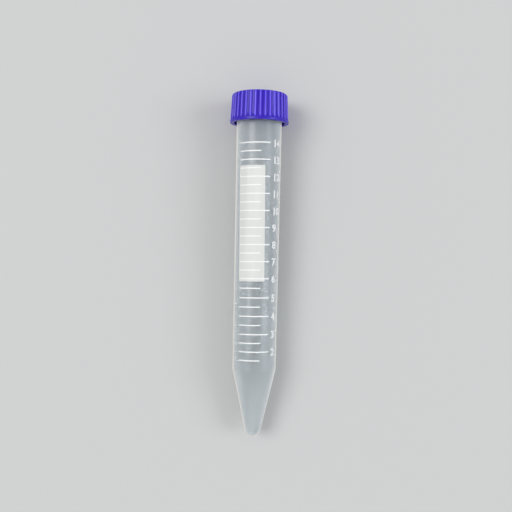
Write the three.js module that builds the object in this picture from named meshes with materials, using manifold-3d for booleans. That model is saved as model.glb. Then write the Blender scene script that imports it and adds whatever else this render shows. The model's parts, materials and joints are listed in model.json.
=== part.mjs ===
// A 15 ml conical centrifuge tube with its screw cap, lying on its side as it comes to rest.
//
// Millimetres, +Z up. Each piece is modelled upright, with its axis on Z and the tip of the
// tube at Z = 0, and the closed tube is then laid down along +Y. It rests on the lower edge
// of the cap's skirt and on the shoulder where the cone begins, so the cap end lies a little
// higher than the tip.

import * as THREE from 'three';
import { mergeVertices } from 'three/addons/utils/BufferGeometryUtils.js';
import Module from 'manifold-3d';

const wasm = await Module();
wasm.setup();

// ---------------------------------------------------------------- driving dimensions

// Whole tube
const OVERALL_LENGTH = 122;        // tip to the flat top of the closed cap
const SEAT_GAP = 0.3;              // between the tube's rim and the underside of the cap's top
const RUNNING_GAP = 0.3;           // radial clearance of whatever passes another piece

// Tube moulding
const BODY_TOP_RADIUS = 8.05;      // outside, at the neck
const SHOULDER_RADIUS = 7.7;       // outside, where the cone begins
const CONE_HEIGHT = 23.8;          // tip to shoulder
const TIP_RADIUS = 2.85;           // outside of the round tip
const WALL = 1.0;                  // body and cone
const TIP_WALL = 1.3;              // floor of the bore, on the axis
const SHOULDER_FILLET = 6;         // softens the change from body to cone
const NECK_STEP = 0.25;            // the neck is this much smaller in radius than the body
const NECK_STEP_COVER = 1.0;       // how far above the skirt's lower edge that step lies
const RIM_CHAMFER = 0.25;          // both edges of the mouth

// Screw thread, a round bead on each piece
const THREAD_PITCH = 3;
const THREAD_HEIGHT = 0.55;        // of the bead outside the neck
const THREAD_TURNS = 1.6;
const THREAD_BELOW_RIM = 1.6;      // mouth to the centre of the bead's upper end
const THREAD_FADE = 0.12;          // share of the bead's run over which each end sinks away

// Screw cap moulding
const CAP_HEIGHT = 10.4;
const CAP_TOP_THICKNESS = 1.4;
const CAP_WALL = 0.9;              // skirt, at the bottom of the grooves between ribs
const CAP_DRAFT = 0.45;            // the skirt narrows by this much radius from bottom to top
const CAP_EDGE_ROUND = 0.9;        // round between the skirt and the flat top
const BAND_HEIGHT = 1.0;           // plain band round the bottom of the skirt
const BAND_PROUD = 0.1;            // the band stands this far outside the ribs
const BAND_CHAMFER = 0.2;
const RIB_COUNT = 36;
const RIB_HEIGHT = 0.4;
const RIB_CREST_SHARE = 0.4;       // share of the rib pitch that is crest
const RIB_FLANK_SHARE = 0.12;      // share of the rib pitch that is each sloping flank
const PLUG_DEPTH = 2.2;            // sealing ring inside the cap, which enters the mouth
const PLUG_WALL = 0.9;

// Facets
const TUBE_FACETS = 48;
const CAP_FACETS = 2 * RIB_COUNT;
const BAND_FACETS = 24;            // broad enough for the cap to rest on one of them
const BEAD_SIDES = 10;
const BEAD_STEPS_PER_TURN = 36;
const ARC_STEPS = 6;
const CUT_OVERRUN = 1;             // how far a cutting solid runs out past the face it opens

// ---------------------------------------------------------------- derived sizes

const tubeHeight = OVERALL_LENGTH - CAP_TOP_THICKNESS - SEAT_GAP;
const capBottom = OVERALL_LENGTH - CAP_HEIGHT;
const capCeiling = OVERALL_LENGTH - CAP_TOP_THICKNESS;

const mouthRadius = BODY_TOP_RADIUS - WALL;
const neckRadius = BODY_TOP_RADIUS - NECK_STEP;
const threadCrest = neckRadius + THREAD_HEIGHT;

// The cap's own bead just clears the neck's, and the skirt's bore leaves room for the bead.
const capThreadCrest = threadCrest + RUNNING_GAP;
const capBoreTop = capThreadCrest;
const capBoreBottom = capBoreTop + CAP_DRAFT;
const ribRootBottom = capBoreBottom + CAP_WALL;
const ribCrestBottom = ribRootBottom + RIB_HEIGHT;
const bandRadius = ribCrestBottom + BAND_PROUD;
const plugRadius = mouthRadius - RUNNING_GAP;

// ---------------------------------------------------------------- helpers

/** Points on an arc about (x, y), from one angle to another in radians. */
function arcPoints(x, y, radius, from, to, steps = ARC_STEPS) {
  const points = [];
  for (let i = 0; i <= steps; i += 1) {
    const angle = from + ((to - from) * i) / steps;
    points.push(new THREE.Vector2(x + radius * Math.cos(angle), y + radius * Math.sin(angle)));
  }
  return points;
}

/** The arc that rounds a corner between two straight runs, tangent to both. */
function roundedCorner(before, corner, after, radius, steps = ARC_STEPS) {
  const back = before.clone().sub(corner).normalize();
  const ahead = after.clone().sub(corner).normalize();
  const halfAngle = Math.acos(back.dot(ahead)) / 2;
  const centre = back.clone().add(ahead).normalize()
    .multiplyScalar(radius / Math.sin(halfAngle))
    .add(corner);
  const reach = radius / Math.tan(halfAngle);
  const start = back.multiplyScalar(reach).add(corner).sub(centre).angle();
  const turned = ahead.multiplyScalar(reach).add(corner).sub(centre).angle() - start;
  const sweep = Math.atan2(Math.sin(turned), Math.cos(turned));
  return arcPoints(centre.x, centre.y, radius, start, start + sweep, steps);
}

/** The angle on a circle, centred on the axis, where a line from an outer point above touches it. */
function tangentAngle(centreHeight, radius, from) {
  const reach = new THREE.Vector2(from.x, from.y - centreHeight);
  return reach.angle() - Math.acos(radius / reach.length());
}

/** A closed solid for cutting and joining, from any closed three.js geometry. */
function toSolid(geometry) {
  const bare = geometry.clone();
  bare.deleteAttribute('normal');
  bare.deleteAttribute('uv');
  const merged = mergeVertices(bare);
  return new wasm.Manifold(new wasm.Mesh({
    numProp: 3,
    vertProperties: Float32Array.from(merged.attributes.position.array),
    triVerts: Uint32Array.from(merged.index.array),
  }));
}

/** The three.js geometry of a finished solid. */
function toGeometry(solid) {
  const mesh = solid.getMesh();
  const geometry = new THREE.BufferGeometry();
  geometry.setAttribute('position', new THREE.BufferAttribute(mesh.vertProperties, 3));
  geometry.setIndex(new THREE.BufferAttribute(mesh.triVerts, 1));
  geometry.computeVertexNormals();
  return geometry;
}

/** An outline of (radius, height) points turned about Z, with a flat facet on each of X and Y. */
function turned(outline, facets) {
  const geometry = new THREE.LatheGeometry(outline, facets, Math.PI / facets);
  geometry.rotateX(Math.PI / 2);
  return toSolid(geometry);
}

/** A helix about Z whose radius eases to another value at both ends, so a bead fades away. */
class ThreadPath extends THREE.Curve {
  constructor(radius, endRadius, topHeight, startAngle) {
    super();
    Object.assign(this, { radius, endRadius, topHeight, startAngle });
  }

  getPoint(t, target = new THREE.Vector3()) {
    const fromEnd = Math.min(t, 1 - t);
    const rise = THREE.MathUtils.smoothstep(fromEnd, 0, THREAD_FADE);
    const radius = THREE.MathUtils.lerp(this.endRadius, this.radius, rise);
    const angle = this.startAngle + 2 * Math.PI * THREAD_TURNS * t;
    const height = this.topHeight - THREAD_PITCH * THREAD_TURNS * (1 - t);
    return target.set(radius * Math.cos(angle), radius * Math.sin(angle), height);
  }
}

/** A round bead swept along a thread's helix. */
function threadBead(path, beadRadius) {
  const section = new THREE.Shape(
    arcPoints(0, 0, beadRadius, 0, 2 * Math.PI, BEAD_SIDES).slice(0, BEAD_SIDES),
  );
  return toSolid(new THREE.ExtrudeGeometry(section, {
    extrudePath: path,
    steps: Math.round(THREAD_TURNS * BEAD_STEPS_PER_TURN),
    bevelEnabled: false,
  }));
}

// ---------------------------------------------------------------- tube moulding

const axisAt = (height) => new THREE.Vector2(0, height);
const shoulder = new THREE.Vector2(SHOULDER_RADIUS, CONE_HEIGHT);
const neckStepHeight = capBottom + NECK_STEP_COVER;

/** Tip, cone and shoulder of an outline that runs upwards from the axis to a wall's top. */
function conicalEnd(floorHeight, tipRadius, corner, wallTop) {
  const tipCentre = floorHeight + tipRadius;
  const touch = tangentAngle(tipCentre, tipRadius, corner);
  const tip = arcPoints(0, tipCentre, tipRadius, -Math.PI / 2, touch);
  tip[0].x = 0;
  const coneStart = tip[tip.length - 1];
  return [...tip, ...roundedCorner(coneStart, corner, wallTop, SHOULDER_FILLET)];
}

function tubeOutline() {
  const bodyTop = new THREE.Vector2(BODY_TOP_RADIUS, neckStepHeight - NECK_STEP);
  return [
    ...conicalEnd(0, TIP_RADIUS, shoulder, bodyTop),
    bodyTop,
    new THREE.Vector2(neckRadius, neckStepHeight),
    new THREE.Vector2(neckRadius, tubeHeight - RIM_CHAMFER),
    new THREE.Vector2(neckRadius - RIM_CHAMFER, tubeHeight),
    axisAt(tubeHeight),
  ];
}

function boreOutline() {
  const corner = new THREE.Vector2(SHOULDER_RADIUS - WALL, CONE_HEIGHT);
  const mouth = new THREE.Vector2(mouthRadius, tubeHeight - RIM_CHAMFER);
  const chamferRun = RIM_CHAMFER + CUT_OVERRUN;
  return [
    ...conicalEnd(TIP_WALL, TIP_RADIUS - WALL, corner, mouth),
    mouth,
    new THREE.Vector2(mouthRadius + chamferRun, tubeHeight + CUT_OVERRUN),
    axisAt(tubeHeight + CUT_OVERRUN),
  ];
}

function tubeSolid() {
  const bead = threadBead(
    new ThreadPath(neckRadius, neckRadius - THREAD_HEIGHT, tubeHeight - THREAD_BELOW_RIM, 0),
    THREAD_HEIGHT,
  );
  return turned(tubeOutline(), TUBE_FACETS)
    .add(bead)
    .subtract(turned(boreOutline(), TUBE_FACETS));
}

// ---------------------------------------------------------------- screw cap moulding

/** The ribbed skirt as a full prism, narrowing upwards by the cap's draft. */
function ribbedPrism() {
  const pitch = (2 * Math.PI) / RIB_COUNT;
  const crestHalf = (RIB_CREST_SHARE / 2) * pitch;
  const rootHalf = crestHalf + RIB_FLANK_SHARE * pitch;
  const corners = [
    [-rootHalf, ribRootBottom],
    [-crestHalf, ribCrestBottom],
    [crestHalf, ribCrestBottom],
    [rootHalf, ribRootBottom],
  ];
  const outline = [];
  for (let rib = 0; rib < RIB_COUNT; rib += 1) {
    for (const [offset, radius] of corners) {
      const angle = rib * pitch + offset;
      outline.push(new THREE.Vector2(radius * Math.cos(angle), radius * Math.sin(angle)));
    }
  }
  const geometry = new THREE.ExtrudeGeometry(new THREE.Shape(outline), {
    depth: CAP_HEIGHT,
    bevelEnabled: false,
  });
  const position = geometry.attributes.position;
  for (let i = 0; i < position.count; i += 1) {
    const radius = Math.hypot(position.getX(i), position.getY(i));
    const narrowed = radius - (CAP_DRAFT * position.getZ(i)) / CAP_HEIGHT;
    position.setX(i, (position.getX(i) * narrowed) / radius);
    position.setY(i, (position.getY(i) * narrowed) / radius);
  }
  geometry.translate(0, 0, capBottom);
  return toSolid(geometry);
}

/** What the rounded edge round the flat top leaves of the prism, which rises out of the band. */
function capEnvelope() {
  const crestTop = ribCrestBottom - CAP_DRAFT;
  const roundHeight = OVERALL_LENGTH - CAP_EDGE_ROUND;
  const ribFoot = capBottom + BAND_HEIGHT / 2;
  return turned([
    axisAt(ribFoot),
    new THREE.Vector2(bandRadius, ribFoot),
    new THREE.Vector2(bandRadius, roundHeight - CAP_EDGE_ROUND),
    ...arcPoints(crestTop - CAP_EDGE_ROUND, roundHeight, CAP_EDGE_ROUND, 0, Math.PI / 2),
    axisAt(OVERALL_LENGTH),
  ], CAP_FACETS);
}

function capBand() {
  return turned([
    axisAt(capBottom),
    new THREE.Vector2(bandRadius - BAND_CHAMFER, capBottom),
    new THREE.Vector2(bandRadius, capBottom + BAND_CHAMFER),
    new THREE.Vector2(bandRadius, capBottom + BAND_HEIGHT),
    axisAt(capBottom + BAND_HEIGHT),
  ], BAND_FACETS);
}

/** The space inside the skirt, with the cap's thread bead left standing in it. */
function skirtSpace() {
  const bore = turned([
    axisAt(capBottom - CUT_OVERRUN),
    new THREE.Vector2(capBoreBottom, capBottom - CUT_OVERRUN),
    new THREE.Vector2(capBoreBottom, capBottom),
    new THREE.Vector2(capBoreTop, capCeiling),
    axisAt(capCeiling),
  ], CAP_FACETS);
  // The cap's turn of thread lies half a pitch from the neck's, which is half a turn away.
  const bead = threadBead(
    new ThreadPath(
      capThreadCrest + THREAD_HEIGHT,
      capBoreBottom + THREAD_HEIGHT,
      tubeHeight - THREAD_BELOW_RIM,
      Math.PI,
    ),
    THREAD_HEIGHT,
  );
  return bore.subtract(bead);
}

function plugRing() {
  const ringBottom = capCeiling - PLUG_DEPTH;
  const inRadius = plugRadius - PLUG_WALL;
  const sunk = capCeiling + CAP_TOP_THICKNESS / 2;
  return turned([
    new THREE.Vector2(inRadius, ringBottom),
    new THREE.Vector2(plugRadius - RIM_CHAMFER, ringBottom),
    new THREE.Vector2(plugRadius, ringBottom + RIM_CHAMFER),
    new THREE.Vector2(plugRadius, sunk),
    new THREE.Vector2(inRadius, sunk),
    new THREE.Vector2(inRadius, ringBottom),
  ], CAP_FACETS);
}

function capSolid() {
  return ribbedPrism()
    .intersect(capEnvelope())
    .add(capBand())
    .subtract(skirtSpace())
    .add(plugRing());
}

// ---------------------------------------------------------------- assembly

/** Distance from the axis to the middle of a flat facet. */
const facetReach = (radius, facets) => radius * Math.cos(Math.PI / facets);

/** How steeply the axis rises when the skirt and the tube both touch the bench. */
function restSlope() {
  const skirtHeight = capBottom + BAND_CHAMFER;
  const skirtReach = facetReach(bandRadius, BAND_FACETS);
  const slopes = tubeOutline()
    .filter((point) => point.y < capBottom)
    .map((point) => (skirtReach - facetReach(point.x, TUBE_FACETS)) / (skirtHeight - point.y));
  return Math.min(...slopes);
}

function namedMesh(name, solid, material) {
  const mesh = new THREE.Mesh(toGeometry(solid), material);
  mesh.name = name;
  return mesh;
}

const clearPlastic = new THREE.MeshStandardMaterial({
  color: 0xbfc6cb,
  roughness: 0.3,
  metalness: 0,
  transparent: true,
  opacity: 0.55,
});
const bluePlastic = new THREE.MeshStandardMaterial({
  color: 0x4632c8,
  roughness: 0.4,
  metalness: 0,
});

const closedTube = new THREE.Group();
closedTube.add(namedMesh('conical_tube', tubeSolid(), clearPlastic));
closedTube.add(namedMesh('screw_cap', capSolid(), bluePlastic));
closedTube.rotation.x = Math.atan(restSlope()) - Math.PI / 2;

// The bench is Z = 0, and the origin lies under the middle of the closed tube.
const extent = new THREE.Box3().setFromObject(closedTube, true);
const middle = extent.getCenter(new THREE.Vector3());
closedTube.position.set(-middle.x, -middle.y, -extent.min.z);

const part = new THREE.Group();
part.add(closedTube);

export default part;
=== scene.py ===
"""A 15 ml conical centrifuge tube with a ribbed screw cap and a printed scale, lying on a bench.

Each piece is modelled upright in millimetres, with its axis on Z and the tip of the tube at
Z = 0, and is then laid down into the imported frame, which is in metres.
"""

import json
import math

import bmesh
import bpy
from mathutils import Matrix, Vector


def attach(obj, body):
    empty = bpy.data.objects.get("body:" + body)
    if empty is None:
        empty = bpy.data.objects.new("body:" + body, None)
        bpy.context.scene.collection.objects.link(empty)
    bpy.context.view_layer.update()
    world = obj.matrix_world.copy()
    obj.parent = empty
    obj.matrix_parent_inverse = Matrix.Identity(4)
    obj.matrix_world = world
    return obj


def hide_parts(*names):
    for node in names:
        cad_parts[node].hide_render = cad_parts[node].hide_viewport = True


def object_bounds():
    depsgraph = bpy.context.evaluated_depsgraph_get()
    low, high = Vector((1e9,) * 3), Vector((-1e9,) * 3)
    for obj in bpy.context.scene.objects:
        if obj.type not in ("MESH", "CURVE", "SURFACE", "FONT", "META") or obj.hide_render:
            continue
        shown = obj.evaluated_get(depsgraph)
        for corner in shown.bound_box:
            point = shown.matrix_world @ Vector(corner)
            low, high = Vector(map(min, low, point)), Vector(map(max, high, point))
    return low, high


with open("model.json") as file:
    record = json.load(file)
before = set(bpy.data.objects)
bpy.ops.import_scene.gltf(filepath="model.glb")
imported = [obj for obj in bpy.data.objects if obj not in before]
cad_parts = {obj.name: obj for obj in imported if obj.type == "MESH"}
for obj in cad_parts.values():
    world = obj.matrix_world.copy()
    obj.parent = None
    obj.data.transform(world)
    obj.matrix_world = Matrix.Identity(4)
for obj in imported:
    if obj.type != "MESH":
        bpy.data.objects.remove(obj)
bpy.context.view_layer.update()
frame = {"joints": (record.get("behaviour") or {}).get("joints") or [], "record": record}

# ------------------------------------------------------------------ sizes, in millimetres

# Whole tube
OVERALL_LENGTH = 122.0             # tip to the flat top of the closed cap
SEAT_GAP = 0.3
RUNNING_GAP = 0.3

# Tube moulding
BODY_TOP_RADIUS = 8.05
SHOULDER_RADIUS = 7.7
CONE_HEIGHT = 23.8
TIP_RADIUS = 2.85
WALL = 1.0
TIP_WALL = 1.3
SHOULDER_REACH = 0.35              # how far along each side its rounding runs
NECK_STEP = 0.25                   # the neck is this much smaller in radius than the body
NECK_STEP_COVER = 1.0              # how far above the skirt's lower edge that step lies
NECK_STEP_ROUND = 0.1
RIM_ROUND = 0.25

# Screw thread
THREAD_PITCH = 3.0
THREAD_HEIGHT = 0.55
THREAD_HALF_WIDTH = 0.85
THREAD_STEEPNESS = 1.35            # over 1, so that the crest is a little flat
THREAD_TURNS = 1.6
THREAD_BELOW_RIM = 1.6             # mouth to the middle of the thread's upper end
THREAD_FADE = 0.12                 # share of its run over which each end sinks away

# Screw cap moulding
CAP_HEIGHT = 10.4
CAP_TOP_THICKNESS = 1.4
CAP_WALL = 0.9                     # at the bottom of the grooves between the ribs
CAP_DRAFT = 0.45                   # the skirt narrows by this much radius from bottom to top
CAP_EDGE_ROUND = 0.9
BAND_HEIGHT = 1.0
BAND_PROUD = 0.1                   # the band stands this far outside the ribs
BAND_ROUND = 0.2                   # its lower edge
BAND_TOP_ROUND = 0.06
BAND_TOP_SLOPE = 0.08              # rise from its upper edge to the feet of the ribs
SKIRT_MOUTH_ROUND = 0.15
INNER_CORNER_ROUND = 0.2
PLUG_DEPTH = 2.2
PLUG_WALL = 0.9
PLUG_EDGE_ROUND = 0.25

# Ribs, with shares of their pitch where that is said
RIB_COUNT = 36
RIB_HEIGHT = 0.4
RIB_CREST_HALF = 0.12              # share
RIB_FOOT_HALF = 0.30               # share
RIB_TURN = 0.15                    # share, which places the first rib
RIB_RUNOUT = 0.35                  # height in which the grooves above the band grow deep
CREST_HIGHLIGHT_FROM = 0.7                  # share of a rib's height above which its colour takes a painted highlight
CREST_HIGHLIGHT_BELOW_TOP = 0.1             # how far under the flat top that ends
CREST_HIGHLIGHT_FADE = 0.4                  # and over how much height it fades out
RIB_CREST = "rib_crest"            # the vertices' record of that painted highlight, for the finish

# How finely the pieces are made, and how nearly places have to agree
TUBE_STEPS = 160
STEPS_PER_RIB = 12
THREAD_ROWS = 64
RIB_ROWS = 15
SAME_PLACE = 1e-4                  # vertices nearer than this become one
ON_SURFACE = 0.01                  # slack for a vertex that lies on a surface
NEAR_CORNER = 0.2                  # vertices this near to a corner take no thread
NEAR_WALL = 0.5                    # what lies within this of a radius belongs to that wall

tube_height = OVERALL_LENGTH - CAP_TOP_THICKNESS - SEAT_GAP
cap_bottom = OVERALL_LENGTH - CAP_HEIGHT
cap_ceiling = OVERALL_LENGTH - CAP_TOP_THICKNESS
band_top = cap_bottom + BAND_HEIGHT
neck_step_height = cap_bottom + NECK_STEP_COVER
thread_top = tube_height - THREAD_BELOW_RIM

mouth_radius = BODY_TOP_RADIUS - WALL
neck_radius = BODY_TOP_RADIUS - NECK_STEP
thread_crest = neck_radius + THREAD_HEIGHT
cap_thread_crest = thread_crest + RUNNING_GAP
cap_bore_top = cap_thread_crest
cap_bore_bottom = cap_bore_top + CAP_DRAFT
groove_radius = cap_bore_bottom + CAP_WALL
crest_radius = groove_radius + RIB_HEIGHT
band_radius = crest_radius + BAND_PROUD
plug_radius = mouth_radius - RUNNING_GAP

# ------------------------------------------------------------------ the frame

MILLIMETRE = 0.001

axis = Vector(frame["joints"][0]["axis"]).normalized()
cap_top = Vector(frame["record"]["mounts"][0]["pos_m"])


def lay_down_matrix():
    """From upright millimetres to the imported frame: up the tube is along the joint's axis."""
    sideways = Vector((1, 0, 0))
    under = axis.cross(sideways)
    turn = Matrix((sideways, under, axis)).transposed().to_4x4()
    shrink = Matrix.Scale(MILLIMETRE, 4)
    hang = Matrix.Translation((0, 0, -OVERALL_LENGTH))
    return Matrix.Translation(cap_top) @ turn @ shrink @ hang


LAY_DOWN = lay_down_matrix()

# ------------------------------------------------------------------ camera, lamps and floor

SENSOR_WIDTH = 36.0                # millimetres, as the focal length is
FOCAL_LENGTH = 54.25
CAMERA_PLACE = (-0.00016, -0.00655, 0.285)  # metres
CAMERA_PITCH = 2.0                 # degrees, as the roll is
CAMERA_ROLL = 1.25
LAMP_SPREAD = 32                   # degrees across, as seen from the tube

FLOOR_HALF_WIDTH = 3.0             # metres
FLOOR_TONE = (0.60, 0.60, 0.60, 1)
FLOOR_ROUGHNESS = 0.75
ROOM_TONE = (0.62, 0.63, 0.64, 1)
ROOM_STRENGTH = 0.9
BACKDROP_TONE = (0.643, 0.648, 0.650, 1)


def set_camera():
    """Nearly straight above the bench, turned a little so that the cap leans to the right."""
    lens = bpy.data.cameras.new("camera")
    lens.sensor_width = SENSOR_WIDTH
    lens.lens = FOCAL_LENGTH
    camera = bpy.data.objects.new("camera", lens)
    pitch = Matrix.Rotation(math.radians(CAMERA_PITCH), 4, "X")
    roll = Matrix.Rotation(math.radians(CAMERA_ROLL), 4, "Z")
    camera.matrix_world = Matrix.Translation(CAMERA_PLACE) @ pitch @ roll
    bpy.context.scene.collection.objects.link(camera)
    bpy.context.scene.camera = camera


def add_lamp(name, side, watts_per_m2, colour):
    """A far, broad soft light. side is where it stands, as seen from the tube."""
    lamp = bpy.data.lights.new(name, "SUN")
    lamp.energy = watts_per_m2
    lamp.angle = math.radians(LAMP_SPREAD)
    lamp.color = colour
    holder = bpy.data.objects.new(name, lamp)
    holder.rotation_euler = (-Vector(side)).to_track_quat("-Z", "Y").to_euler()
    bpy.context.scene.collection.objects.link(holder)


def set_lamps():
    add_lamp("key_light", side=(-0.38, 0.08, 0.58), watts_per_m2=1.22, colour=(1.0, 0.985, 0.96))
    add_lamp("fill_light", side=(0.55, 0.0, 0.42), watts_per_m2=0.88, colour=(0.95, 0.975, 1.0))


def simple_nodes(name):
    """A material whose node tree holds only its output, with that tree and output."""
    material = bpy.data.materials.new(name)
    material.use_nodes = True
    tree = material.node_tree
    tree.nodes.clear()
    output = tree.nodes.new("ShaderNodeOutputMaterial")
    return material, tree, output


def set_floor(height):
    """A plain pale bench."""
    bm = bmesh.new()
    bmesh.ops.create_grid(bm, x_segments=1, y_segments=1, size=FLOOR_HALF_WIDTH)
    mesh = bpy.data.meshes.new("floor")
    bm.to_mesh(mesh)
    bm.free()
    floor = bpy.data.objects.new("floor", mesh)
    floor.location.z = height
    bpy.context.scene.collection.objects.link(floor)
    material, tree, output = simple_nodes("pale_bench")
    shader = tree.nodes.new("ShaderNodeBsdfPrincipled")
    shader.inputs["Base Color"].default_value = FLOOR_TONE
    shader.inputs["Roughness"].default_value = FLOOR_ROUGHNESS
    tree.links.new(shader.outputs["BSDF"], output.inputs["Surface"])
    mesh.materials.append(material)


def set_room():
    """Soft light from all round, and a backdrop of the bench's shade wherever it is seen."""
    world = bpy.data.worlds.new("studio")
    bpy.context.scene.world = world
    world.use_nodes = True
    tree = world.node_tree
    around = tree.nodes["Background"]
    around.inputs["Color"].default_value = ROOM_TONE
    around.inputs["Strength"].default_value = ROOM_STRENGTH
    seen = tree.nodes.new("ShaderNodeBackground")
    seen.inputs["Color"].default_value = BACKDROP_TONE
    path = tree.nodes.new("ShaderNodeLightPath")
    swap = tree.nodes.new("ShaderNodeMixShader")
    looked_at = path.outputs["Is Camera Ray"]
    for also in ("Is Glossy Ray", "Is Transmission Ray"):
        either = tree.nodes.new("ShaderNodeMath")
        either.operation = "MAXIMUM"
        tree.links.new(looked_at, either.inputs[0])
        tree.links.new(path.outputs[also], either.inputs[1])
        looked_at = either.outputs[0]
    tree.links.new(looked_at, swap.inputs["Fac"])
    tree.links.new(around.outputs["Background"], swap.inputs[1])
    tree.links.new(seen.outputs["Background"], swap.inputs[2])
    tree.links.new(swap.outputs["Shader"], tree.nodes["World Output"].inputs["Surface"])


# ------------------------------------------------------------------ modelling helpers


def wire(points):
    """An open wire through (radius, height) points, in the plane that is spun about the axis."""
    bm = bmesh.new()
    corners = [bm.verts.new((radius, 0, height)) for radius, height in points]
    for pair in zip(corners, corners[1:]):
        bm.edges.new(pair)
    return bm, corners


def round_corner(bm, corner, reach, segments):
    """Rounds one corner of a wire, from reach before it to reach after it."""
    bmesh.ops.bevel(
        bm, geom=[corner], offset=reach, offset_type="OFFSET", segments=segments, profile=0.5,
        affect="VERTICES", material=-1, clamp_overlap=False,
    )


def cut_finely(bm, low, high, near_radius, rows):
    """Cuts the long upright run of a wire that lies near a radius between two heights."""
    runs = [
        edge for edge in bm.edges
        if all(low <= v.co.z <= high and abs(v.co.x - near_radius) < NEAR_WALL for v in edge.verts)
    ]
    longest = max(runs, key=lambda edge: edge.calc_length())
    bmesh.ops.subdivide_edges(bm, edges=[longest], cuts=rows)


def turn_solid(bm, steps):
    """Spins a wire once about the axis and closes its seam and poles."""
    bmesh.ops.spin(
        bm, geom=bm.verts[:] + bm.edges[:], cent=(0, 0, 0), axis=(0, 0, 1),
        angle=2 * math.pi, steps=steps, use_merge=True,
    )
    bmesh.ops.remove_doubles(bm, verts=bm.verts, dist=SAME_PLACE)
    bmesh.ops.recalc_face_normals(bm, faces=bm.faces)


def ease(share):
    """0 below 0, 1 above 1, and a smooth step between."""
    share = min(max(share, 0.0), 1.0)
    return share * share * (3 - 2 * share)


def set_radius(vert, radius):
    """Moves a vertex straight in or out to a distance from the axis."""
    now = math.hypot(vert.co.x, vert.co.y)
    vert.co.x *= radius / now
    vert.co.y *= radius / now


def thread_share(vert, start_angle):
    """How far the thread stands up where a vertex is, from 0 to 1."""
    turn = (math.atan2(vert.co.y, vert.co.x) - start_angle) / (2 * math.pi) % 1.0
    share = 0.0
    while turn <= THREAD_TURNS:
        height = thread_top - THREAD_PITCH * (THREAD_TURNS - turn)
        flank = 1 - abs(vert.co.z - height) / THREAD_HALF_WIDTH
        fade = min(turn, THREAD_TURNS - turn) / (THREAD_TURNS * THREAD_FADE)
        share = max(share, ease(THREAD_STEEPNESS * flank) * ease(fade))
        turn += 1
    return share


def finish_piece(bm, name, body, sharp_angle):
    """Lays a piece down into the frame, gives it smooth shading, and puts it on its body."""
    bm.transform(LAY_DOWN)
    mesh = bpy.data.meshes.new(name)
    bm.to_mesh(mesh)
    bm.free()
    mesh.shade_smooth()
    mesh.set_sharp_from_angle(angle=math.radians(sharp_angle))
    piece = bpy.data.objects.new(name, mesh)
    bpy.context.scene.collection.objects.link(piece)
    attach(piece, body)
    return piece


# ------------------------------------------------------------------ tube moulding


def cone_foot(floor_height, tip_radius, shoulder_radius):
    """Where the side of the cone would meet the floor of its round tip, if it ran on down."""
    across, up = shoulder_radius, CONE_HEIGHT - floor_height - tip_radius
    lean = math.acos(tip_radius / math.hypot(across, up)) - math.atan2(up, across)
    return tip_radius * math.tan(math.pi / 4 - lean / 2)


def make_tube():
    """One closed shell: the outside from tip to rim, and the bore back down."""
    outer_foot = cone_foot(0, TIP_RADIUS, SHOULDER_RADIUS)
    inner_foot = cone_foot(TIP_WALL, TIP_RADIUS - WALL, SHOULDER_RADIUS - WALL)
    bm, corners = wire([
        (0, 0),
        (outer_foot, 0),
        (SHOULDER_RADIUS, CONE_HEIGHT),
        (BODY_TOP_RADIUS, neck_step_height - NECK_STEP),
        (neck_radius, neck_step_height),
        (neck_radius, tube_height),
        (mouth_radius, tube_height),
        (SHOULDER_RADIUS - WALL, CONE_HEIGHT),
        (inner_foot, TIP_WALL),
        (0, TIP_WALL),
    ])
    _, tip, shoulder, step_foot, step_head, rim, mouth, inner_shoulder, inner_tip, _ = corners
    round_corner(bm, tip, outer_foot, segments=12)
    round_corner(bm, inner_tip, inner_foot, segments=10)
    for corner in (shoulder, inner_shoulder):
        round_corner(bm, corner, SHOULDER_REACH, segments=6)
    for corner in (step_foot, step_head):
        round_corner(bm, corner, NECK_STEP_ROUND, segments=3)
    for corner in (rim, mouth):
        round_corner(bm, corner, RIM_ROUND, segments=4)
    cut_finely(bm, neck_step_height, tube_height, neck_radius, THREAD_ROWS)
    turn_solid(bm, TUBE_STEPS)
    for vert in bm.verts:
        outside = math.hypot(vert.co.x, vert.co.y) > neck_radius - ON_SURFACE
        if outside and vert.co.z > neck_step_height + NEAR_CORNER:
            set_radius(vert, neck_radius + THREAD_HEIGHT * thread_share(vert, start_angle=0))
    return finish_piece(bm, "tube_moulding", "tube", sharp_angle=50)


# ------------------------------------------------------------------ screw cap moulding


def rib_share(vert):
    """1 on the crest of a rib, 0 at the bottom of a groove."""
    pitch = math.atan2(vert.co.y, vert.co.x) * RIB_COUNT / (2 * math.pi) - RIB_TURN
    from_crest = abs((pitch + 0.5) % 1.0 - 0.5)
    return ease((RIB_FOOT_HALF - from_crest) / (RIB_FOOT_HALF - RIB_CREST_HALF))


def cut_grooves(bm):
    """Presses the skirt in between the ribs, and notes on each vertex how much painted highlight
    it takes, most on the crests.
    """
    crest = bm.verts.layers.float.new(RIB_CREST)
    for vert in bm.verts:
        height = vert.co.z - cap_bottom
        radius = math.hypot(vert.co.x, vert.co.y)
        if height < BAND_HEIGHT or radius < crest_radius - CAP_DRAFT - CAP_EDGE_ROUND:
            continue
        narrowing = CAP_DRAFT * height / CAP_HEIGHT
        skirt = groove_radius - narrowing + RIB_HEIGHT * rib_share(vert)
        runout = ease((height - BAND_HEIGHT) / RIB_RUNOUT)
        skirt += (crest_radius - narrowing - skirt) * (1 - runout)
        set_radius(vert, min(radius, skirt))
        # Painted highlight: a lighter colour along the crests of the ribs, fading in above the
        # band and out below the top.
        painted_highlight = ease((rib_share(vert) - CREST_HIGHLIGHT_FROM) / (1 - CREST_HIGHLIGHT_FROM))
        below_top = ease((CAP_HEIGHT - CREST_HIGHLIGHT_BELOW_TOP - height) / CREST_HIGHLIGHT_FADE)
        vert[crest] = painted_highlight * runout * below_top


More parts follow.
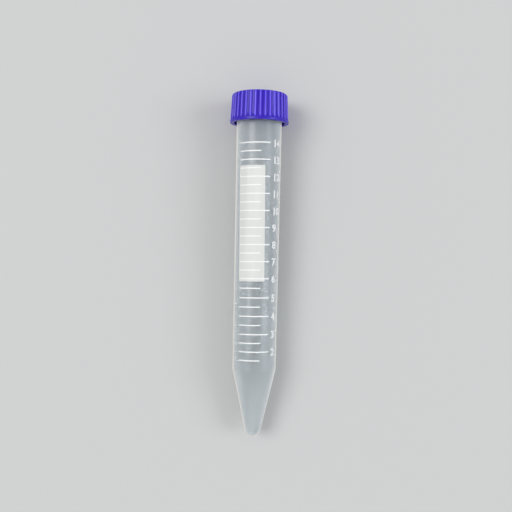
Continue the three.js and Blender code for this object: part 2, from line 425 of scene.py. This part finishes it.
def raise_cap_thread(bm):
    """Draws the wall of the cap's bore inwards along the thread, where it has one."""
    for vert in bm.verts:
        radius = math.hypot(vert.co.x, vert.co.y)
        inside_skirt = cap_bottom + NEAR_CORNER < vert.co.z < cap_ceiling
        if inside_skirt and plug_radius + NEAR_WALL < radius < cap_bore_bottom + ON_SURFACE:
            share = thread_share(vert, start_angle=math.pi)
            set_radius(vert, radius + (cap_thread_crest - radius) * share)


def make_cap():
    """One closed shell: the flat top, the ribbed side, the plain band, the bore and the plug."""
    crest_top = crest_radius - CAP_DRAFT
    crest_at_band = crest_radius - CAP_DRAFT * BAND_HEIGHT / CAP_HEIGHT
    plug_bottom = cap_ceiling - PLUG_DEPTH
    bm, corners = wire([
        (0, OVERALL_LENGTH),
        (crest_top, OVERALL_LENGTH),
        (crest_at_band, band_top + BAND_TOP_SLOPE),
        (band_radius, band_top),
        (band_radius, cap_bottom),
        (cap_bore_bottom, cap_bottom),
        (cap_bore_top, cap_ceiling),
        (plug_radius, cap_ceiling),
        (plug_radius, plug_bottom),
        (plug_radius - PLUG_WALL, plug_bottom),
        (plug_radius - PLUG_WALL, cap_ceiling),
        (0, cap_ceiling),
    ])
    _, edge, rib_end, band_edge, skirt_edge, skirt_mouth, bore_end, plug_root = corners[:8]
    plug_outer, plug_inner, plug_inner_root, _ = corners[8:]
    round_corner(bm, edge, CAP_EDGE_ROUND, segments=8)
    round_corner(bm, band_edge, BAND_TOP_ROUND, segments=2)
    round_corner(bm, skirt_edge, BAND_ROUND, segments=4)
    round_corner(bm, skirt_mouth, SKIRT_MOUTH_ROUND, segments=3)
    for corner in (bore_end, plug_root, plug_inner_root):
        round_corner(bm, corner, INNER_CORNER_ROUND, segments=3)
    for corner in (plug_outer, plug_inner):
        round_corner(bm, corner, PLUG_EDGE_ROUND, segments=3)
    cut_finely(bm, band_top, OVERALL_LENGTH, crest_radius, RIB_ROWS)
    bore_middle = (cap_bore_bottom + cap_bore_top) / 2
    cut_finely(bm, cap_bottom, cap_ceiling, bore_middle, THREAD_ROWS)
    turn_solid(bm, STEPS_PER_RIB * RIB_COUNT)
    cut_grooves(bm)
    raise_cap_thread(bm)
    return finish_piece(bm, "screw_cap_moulding", "cap", sharp_angle=40)


# ------------------------------------------------------------------ printed scale

# Heights of the marks above the tip. From 6 ml up they are evenly spaced. Below it the gaps
# are wider at first, and close up again towards the cone.
EVEN_FROM_ML = 6
SIX_ML_HEIGHT = 56.3
ML_SPACING = 5.95
LOW_MARK_HEIGHTS = {
    5.5: 52.95,
    5.0: 49.6,
    4.5: 46.4,
    4.0: 43.15,
    3.5: 40.0,
    3.0: 36.8,
    2.5: 33.75,
    2.0: 30.7,
    1.5: 27.7,
}
LOWEST_MARK = 1.5                  # ml
HIGHEST_MARK = 14.0
LOWEST_NUMERAL = 2
PANEL_LOWEST_LINE = 6.0            # the panel covers the lines from here
PANEL_HIGHEST_LINE = 12.5          # up to here

# Angles about the axis, in degrees from straight up, positive towards +X
LINES_FROM = -47.4
LONG_LINES_TO = 36.0
SHORT_LINES_TO = 11.8
ONE_DIGIT_FROM = 44.0
TWO_DIGITS_FROM = 48.3
PANEL_FROM = -49.1
PANEL_TO = 22.2

PRINT_RISE = 0.0155                # the print sits a little skew: mm up for each mm to the right
PRINT_DRIFT = 0.0146               # and mm to the left for each mm up
PRINT_MIDDLE = 54.1                # the height at which it isn't shifted sideways

LINE_THICKNESS = 0.42
LINE_END_ROUND = 0.2
PANEL_MARGIN = 1.0                 # panel past its first and last line
PANEL_CORNER_ROUND = 0.3
NUMERAL_HEIGHT = 2.6
NUMERAL_DROP = 0.15                # middle of a figure below the middle of its line
NUMERAL_BOLDNESS = 0.105           # how far the sides of the figures stand out past the font's
FIGURE_WIDTH = 1.12                # times as wide as the font's
FIGURE_SPACING = 0.9               # from one figure to the next, as a share of the font's
FIGURE_SHARE = 0.729               # height of a figure as a share of the size of the font
FIGURE_CURVE_STEPS = 4
FIGURE_POINT_GAP = 0.02            # points of an outline that are nearer than this become one
SHARPEST_CORNER = 0.12             # keeps the corners from running out when it is made bolder
INK_SUNK = 0.01                    # how far the ink reaches into the plastic
LINE_PROUD = 0.05                  # how far the ink stands out of it
PANEL_PROUD = 0.025
INK_STEP = 3.0                     # degrees between the cuts that let ink bend round the body
CUT_TOLERANCE = 1e-5               # degrees
UPRIGHT_RISE = 1e-6                # an edge that rises by more than this stands up


def mark_height(ml):
    if ml < EVEN_FROM_ML:
        return LOW_MARK_HEIGHTS[ml]
    return SIX_ML_HEIGHT + ML_SPACING * (ml - EVEN_FROM_ML)


def body_radius(height):
    """Outside of the body, which widens slowly from the shoulder to the neck."""
    share = (height - CONE_HEIGHT) / (neck_step_height - NECK_STEP - CONE_HEIGHT)
    return SHOULDER_RADIUS + (BODY_TOP_RADIUS - SHOULDER_RADIUS) * share


def bend_round_body(bm):
    """Flat ink, with x in degrees and z its height off the plastic, is wrapped onto the body."""
    lows, highs = min(v.co.x for v in bm.verts), max(v.co.x for v in bm.verts)
    cut = INK_STEP * math.ceil(lows / INK_STEP)
    while cut < highs:
        bmesh.ops.bisect_plane(
            bm, geom=bm.verts[:] + bm.edges[:] + bm.faces[:], dist=CUT_TOLERANCE,
            plane_co=(cut, 0, 0), plane_no=(1, 0, 0),
        )
        cut += INK_STEP
    for vert in bm.verts:
        skin = body_radius(vert.co.y)
        angle = math.radians(vert.co.x) - PRINT_DRIFT * (vert.co.y - PRINT_MIDDLE) / skin
        height = vert.co.y + PRINT_RISE * skin * math.radians(vert.co.x)
        radius = body_radius(height) + vert.co.z
        vert.co = (radius * math.sin(angle), -radius * math.cos(angle), height)


def add_ink_bar(bm, left, right, height, thickness, proud, round_reach):
    """One flat bar of ink with rounded corners. left and right are in degrees."""
    made = bmesh.ops.create_cube(bm, size=1.0)["verts"]
    to_degrees = math.degrees(1 / body_radius(height))
    bmesh.ops.scale(bm, verts=made, vec=((right - left) / to_degrees, thickness, proud + INK_SUNK))
    uprights = {
        edge for vert in made for edge in vert.link_edges
        if abs(edge.verts[0].co.z - edge.verts[1].co.z) > UPRIGHT_RISE
    }
    rounded = bmesh.ops.bevel(
        bm, geom=list(uprights), offset=round_reach, offset_type="OFFSET", segments=3,
        profile=0.5, affect="EDGES", material=-1,
    )["verts"]
    bar = list({v for v in made if v.is_valid} | set(rounded))
    bmesh.ops.scale(bm, verts=bar, vec=(to_degrees, 1, 1))
    bmesh.ops.translate(bm, verts=bar, vec=((left + right) / 2, height, (proud - INK_SUNK) / 2))


def make_lines():
    """A long line at each whole ml and a short one at each half."""
    bm = bmesh.new()
    half_mls = int((HIGHEST_MARK - LOWEST_MARK) * 2)
    for step in range(half_mls + 1):
        ml = LOWEST_MARK + step / 2
        right = LONG_LINES_TO if ml == int(ml) else SHORT_LINES_TO
        add_ink_bar(
            bm, LINES_FROM, right, mark_height(ml), LINE_THICKNESS, LINE_PROUD, LINE_END_ROUND,
        )
    bend_round_body(bm)
    return finish_piece(bm, "graduation_lines", "tube", sharp_angle=60)


def make_panel():
    """The broad patch for writing on, behind the upper lines."""
    bm = bmesh.new()
    low = mark_height(PANEL_LOWEST_LINE) - PANEL_MARGIN
    high = mark_height(PANEL_HIGHEST_LINE) + PANEL_MARGIN
    add_ink_bar(
        bm, PANEL_FROM, PANEL_TO, (low + high) / 2, high - low, PANEL_PROUD, PANEL_CORNER_ROUND,
    )
    bend_round_body(bm)
    return finish_piece(bm, "writing_panel", "tube", sharp_angle=60)


def is_side(face):
    """True where a face of a slab joins its front, above 0, to its back, below 0."""
    return len({vert.co.z > 0 for vert in face.verts}) == 2


def embolden(slab):
    """Moves the sides of a slab straight out, and then closes its front and back again."""
    slab.normal_update()
    moves = []
    for vert in slab.verts:
        sides = [face.normal.copy() for face in vert.link_faces if is_side(face)]
        sharpness = max(1 + sides[0].dot(sides[-1]), SHARPEST_CORNER)
        moves.append((vert, (sides[0] + sides[-1]) * NUMERAL_BOLDNESS / sharpness))
    for vert, move in moves:
        vert.co += move
    flats = [face for face in slab.faces if not is_side(face)]
    bmesh.ops.delete(slab, geom=flats, context="FACES")
    for front in (1, -1):
        rim = [edge for edge in slab.edges if edge.is_boundary and edge.verts[0].co.z * front > 0]
        bmesh.ops.triangle_fill(slab, edges=rim, use_beauty=True, normal=(0, 0, front))


def flat_figure(text):
    """A figure as a closed slab of millimetre sizes, reaching from -1 to 1 in thickness."""
    figure = bpy.data.curves.new("figure", "FONT")
    figure.body = text
    figure.size = NUMERAL_HEIGHT / FIGURE_SHARE
    figure.extrude = 1.0
    figure.resolution_u = FIGURE_CURVE_STEPS
    figure.space_character = FIGURE_SPACING
    shape = bpy.data.objects.new("figure", figure)
    bpy.context.scene.collection.objects.link(shape)
    slab = bmesh.new()
    slab.from_mesh(shape.to_mesh())
    shape.to_mesh_clear()
    bpy.data.objects.remove(shape)
    bpy.data.curves.remove(figure)
    bmesh.ops.remove_doubles(slab, verts=slab.verts, dist=FIGURE_POINT_GAP)
    embolden(slab)
    mesh = bpy.data.meshes.new("figure")
    slab.to_mesh(mesh)
    slab.free()
    return mesh


def make_numerals():
    """Plain figures from 2 to 14, each a little lower than its long line."""
    bm = bmesh.new()
    for ml in range(LOWEST_NUMERAL, int(HIGHEST_MARK) + 1):
        figure = flat_figure(str(ml))
        known = set(bm.verts)
        bm.from_mesh(figure)
        bpy.data.meshes.remove(figure)
        placed = [v for v in bm.verts if v not in known]
        left = min(v.co.x for v in placed)
        middle = (min(v.co.y for v in placed) + max(v.co.y for v in placed)) / 2
        to_degrees = math.degrees(1 / body_radius(mark_height(ml)))
        bmesh.ops.translate(bm, verts=placed, vec=(-left, -middle, 0))
        widen = FIGURE_WIDTH * to_degrees
        bmesh.ops.scale(bm, verts=placed, vec=(widen, 1, (LINE_PROUD + INK_SUNK) / 2))
        start = ONE_DIGIT_FROM if ml < 10 else TWO_DIGITS_FROM
        seat = (start, mark_height(ml) - NUMERAL_DROP, (LINE_PROUD - INK_SUNK) / 2)
        bmesh.ops.translate(bm, verts=placed, vec=seat)
    bend_round_body(bm)
    return finish_piece(bm, "graduation_numerals", "tube", sharp_angle=60)


# ------------------------------------------------------------------ finishes

# A Mix node has sockets of the same name for numbers and colours, so its colours go by place.
FIRST_COLOUR = 6
SECOND_COLOUR = 7
MIXED_COLOUR = 2


def group_socket(group, name, direction, kind, value=None):
    socket = group.interface.new_socket(name=name, in_out=direction, socket_type=kind)
    if value is not None:
        socket.default_value = value


def make_moulded_skin():
    """Node group: the faint flow marks and fine grain that a mould leaves in plastic."""
    group = bpy.data.node_groups.new("moulded_skin", "ShaderNodeTree")
    group_socket(group, "Vector", "INPUT", "NodeSocketVector")
    group_socket(group, "Grain per mm", "INPUT", "NodeSocketFloat", 2.0)
    group_socket(group, "Roughness", "INPUT", "NodeSocketFloat", 0.35)
    group_socket(group, "Roughness Spread", "INPUT", "NodeSocketFloat", 0.1)
    group_socket(group, "Light Tone", "INPUT", "NodeSocketColor", (1, 1, 1, 1))
    group_socket(group, "Dark Tone", "INPUT", "NodeSocketColor", (0.8, 0.8, 0.8, 1))
    group_socket(group, "Color", "OUTPUT", "NodeSocketColor")
    group_socket(group, "Roughness", "OUTPUT", "NodeSocketFloat")
    group_socket(group, "Height", "OUTPUT", "NodeSocketFloat")
    nodes, links = group.nodes, group.links
    given = nodes.new("NodeGroupInput")
    result = nodes.new("NodeGroupOutput")

    # Flow marks run along the tube, which lies along Y.
    stretch = nodes.new("ShaderNodeMapping")
    stretch.inputs["Scale"].default_value = (320, 28, 320)
    links.new(given.outputs["Vector"], stretch.inputs["Vector"])
    flow = nodes.new("ShaderNodeTexNoise")
    flow.inputs["Scale"].default_value = 1.0
    flow.inputs["Detail"].default_value = 3.0
    links.new(stretch.outputs["Vector"], flow.inputs["Vector"])

    per_metre = nodes.new("ShaderNodeMath")
    per_metre.operation = "MULTIPLY"
    per_metre.inputs[1].default_value = 1 / MILLIMETRE
    links.new(given.outputs["Grain per mm"], per_metre.inputs[0])
    grain = nodes.new("ShaderNodeTexNoise")
    grain.inputs["Detail"].default_value = 4.0
    grain.inputs["Roughness"].default_value = 0.6
    links.new(given.outputs["Vector"], grain.inputs["Vector"])
    links.new(per_metre.outputs[0], grain.inputs["Scale"])

    tone = nodes.new("ShaderNodeMapRange")
    tone.inputs["From Min"].default_value = 0.35
    tone.inputs["From Max"].default_value = 0.65
    links.new(flow.outputs["Fac"], tone.inputs["Value"])
    colour = nodes.new("ShaderNodeMix")
    colour.data_type = "RGBA"
    links.new(tone.outputs["Result"], colour.inputs["Factor"])
    links.new(given.outputs["Dark Tone"], colour.inputs[FIRST_COLOUR])
    links.new(given.outputs["Light Tone"], colour.inputs[SECOND_COLOUR])
    links.new(colour.outputs[MIXED_COLOUR], result.inputs["Color"])

    centred = nodes.new("ShaderNodeMath")
    centred.operation = "SUBTRACT"
    centred.inputs[1].default_value = 0.5
    links.new(grain.outputs["Fac"], centred.inputs[0])
    rough = nodes.new("ShaderNodeMath")
    rough.operation = "MULTIPLY_ADD"
    links.new(centred.outputs[0], rough.inputs[0])
    links.new(given.outputs["Roughness Spread"], rough.inputs[1])
    links.new(given.outputs["Roughness"], rough.inputs[2])
    links.new(rough.outputs[0], result.inputs["Roughness"])

    height = nodes.new("ShaderNodeMath")
    height.operation = "MULTIPLY_ADD"
    height.inputs[1].default_value = 0.35
    links.new(flow.outputs["Fac"], height.inputs[0])
    links.new(grain.outputs["Fac"], height.inputs[2])
    links.new(height.outputs[0], result.inputs["Height"])
    return group


MOULDED_SKIN = make_moulded_skin()


def add_skinned_shader(tree, values, bump_strength, bump_distance):
    """A Principled shader whose colour, roughness and bump come from the moulded skin."""
    nodes, links = tree.nodes, tree.links
    shader = nodes.new("ShaderNodeBsdfPrincipled")
    skin = nodes.new("ShaderNodeGroup")
    skin.node_tree = MOULDED_SKIN
    place = nodes.new("ShaderNodeTexCoord")
    links.new(place.outputs["Object"], skin.inputs["Vector"])
    for socket, value in values.items():
        skin.inputs[socket].default_value = value
    bump = nodes.new("ShaderNodeBump")
    bump.inputs["Strength"].default_value = bump_strength
    bump.inputs["Distance"].default_value = bump_distance
    links.new(skin.outputs["Height"], bump.inputs["Height"])
    links.new(skin.outputs["Color"], shader.inputs["Base Color"])
    links.new(skin.outputs["Roughness"], shader.inputs["Roughness"])
    links.new(bump.outputs["Normal"], shader.inputs["Normal"])
    return shader


def add_share(tree, value, low, high, most):
    """A smooth step from 0 to most while a value goes from low to high."""
    share = tree.nodes.new("ShaderNodeMapRange")
    share.interpolation_type = "SMOOTHSTEP"
    share.inputs["From Min"].default_value = low
    share.inputs["From Max"].default_value = high
    share.inputs["To Max"].default_value = most
    tree.links.new(value, share.inputs["Value"])
    return share.outputs["Result"]


def add_mix(tree, share, first, second):
    mix = tree.nodes.new("ShaderNodeMixShader")
    tree.links.new(share, mix.inputs["Fac"])
    tree.links.new(first, mix.inputs[1])
    tree.links.new(second, mix.inputs[2])
    return mix.outputs["Shader"]


def add_polypropylene(tree, roughness, light_tone, dark_tone):
    """One of the looks of the tube's plastic, which all have the same skin."""
    return add_skinned_shader(tree, {
        "Grain per mm": 0.5,
        "Roughness": roughness,
        "Roughness Spread": 0.08,
        "Light Tone": light_tone,
        "Dark Tone": dark_tone,
    }, bump_strength=0.03, bump_distance=0.0002)


def milky_polypropylene():
    """Half clear face on, milkier at the thick tip, and bright where one looks along the wall:
    partly the milky wall seen along its length, partly a painted sheen on the rims.
    """
    material, tree, output = simple_nodes("milky_polypropylene")
    wall = add_polypropylene(tree, 0.30, (0.885, 0.925, 0.950, 1), (0.815, 0.870, 0.905, 1))
    wall.inputs["Transmission Weight"].default_value = 0.83
    wall.inputs["IOR"].default_value = 1.49
    tip = add_polypropylene(tree, 0.32, (0.82, 0.86, 0.87, 1), (0.75, 0.80, 0.82, 1))
    # The pale cream edge look is partly the thick milky wall seen edge-on and partly a painted
    # sheen along the rims.
    edge = add_polypropylene(tree, 0.32, (0.95, 0.94, 0.89, 1), (0.90, 0.89, 0.84, 1))
    for look in (wall, tip, edge):
        look.inputs["Specular IOR Level"].default_value = 0.25
    place = tree.nodes.new("ShaderNodeTexCoord")
    along = tree.nodes.new("ShaderNodeSeparateXYZ")
    tree.links.new(place.outputs["Object"], along.inputs["Vector"])
    slant = tree.nodes.new("ShaderNodeLayerWeight")
    at_tip = add_share(tree, along.outputs["Y"], low=-0.028, high=-0.048, most=0.17)
    at_side = add_share(tree, slant.outputs["Facing"], low=0.15, high=0.60, most=0.35)
    at_edge = add_share(tree, slant.outputs["Facing"], low=0.58, high=0.78, most=0.90)
    face_on = add_mix(tree, at_tip, wall.outputs["BSDF"], tip.outputs["BSDF"])
    side_on = add_mix(tree, at_side, face_on, tip.outputs["BSDF"])
    whole = add_mix(tree, at_edge, side_on, edge.outputs["BSDF"])
    tree.links.new(whole, output.inputs["Surface"])
    return material


def skinned_material(name, values, bump_strength, bump_distance):
    """A material that has one skinned shader, with that shader."""
    material, tree, output = simple_nodes(name)
    shader = add_skinned_shader(tree, values, bump_strength, bump_distance)
    tree.links.new(shader.outputs["BSDF"], output.inputs["Surface"])
    return material, shader


def violet_blue_plastic():
    """Deep in the grooves, with a painted highlight that makes the crests of the ribs lighter."""
    material, shader = skinned_material("violet_blue_plastic", {
        "Grain per mm": 2.5,
        "Roughness": 0.24,
        "Roughness Spread": 0.10,
        "Light Tone": (0.044, 0.015, 0.51, 1),
        "Dark Tone": (0.037, 0.012, 0.46, 1),
    }, bump_strength=0.06, bump_distance=0.0001)
    tree = material.node_tree
    crest = tree.nodes.new("ShaderNodeAttribute")
    crest.attribute_name = RIB_CREST
    painted_highlight = tree.nodes.new("ShaderNodeMix")
    painted_highlight.data_type = "RGBA"
    # The lighter colour of the painted highlight on the rib crests.
    painted_highlight.inputs[SECOND_COLOUR].default_value = (0.18, 0.12, 0.89, 1)
    skin_colour = shader.inputs["Base Color"].links[0].from_socket
    tree.links.new(crest.outputs["Fac"], painted_highlight.inputs["Factor"])
    tree.links.new(skin_colour, painted_highlight.inputs[FIRST_COLOUR])
    tree.links.new(painted_highlight.outputs[MIXED_COLOUR], shader.inputs["Base Color"])
    shader.inputs["Specular IOR Level"].default_value = 0.3
    shader.inputs["Subsurface Weight"].default_value = 0.5
    shader.inputs["Subsurface Radius"].default_value = (0.15, 0.12, 1.0)
    shader.inputs["Subsurface Scale"].default_value = MILLIMETRE
    return material


def white_ink():
    """Full white, for the lines and numerals."""
    material, _ = skinned_material("white_ink", {
        "Grain per mm": 4.0,
        "Roughness": 0.45,
        "Roughness Spread": 0.15,
        "Light Tone": (0.93, 0.93, 0.93, 1),
        "Dark Tone": (0.88, 0.89, 0.90, 1),
    }, bump_strength=0.15, bump_distance=0.00003)
    return material


def thin_white_ink():
    """A duller coat that takes a pen, for the writing panel."""
    material, _ = skinned_material("thin_white_ink", {
        "Grain per mm": 3.0,
        "Roughness": 0.60,
        "Roughness Spread": 0.20,
        "Light Tone": (0.76, 0.77, 0.74, 1),
        "Dark Tone": (0.70, 0.71, 0.69, 1),
    }, bump_strength=0.20, bump_distance=0.00003)
    return material


# ------------------------------------------------------------------ the scene

set_camera()
set_lamps()
set_room()

tube = make_tube()
tube.data.materials.append(milky_polypropylene())
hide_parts("conical_tube")

cap = make_cap()
cap.data.materials.append(violet_blue_plastic())
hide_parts("screw_cap")

ink = white_ink()
for piece in (make_lines(), make_numerals()):
    piece.data.materials.append(ink)
panel = make_panel()
panel.data.materials.append(thin_white_ink())

lowest_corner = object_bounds()[0]
set_floor(lowest_corner[2])
bpy.context.scene.view_settings.view_transform = "Standard"
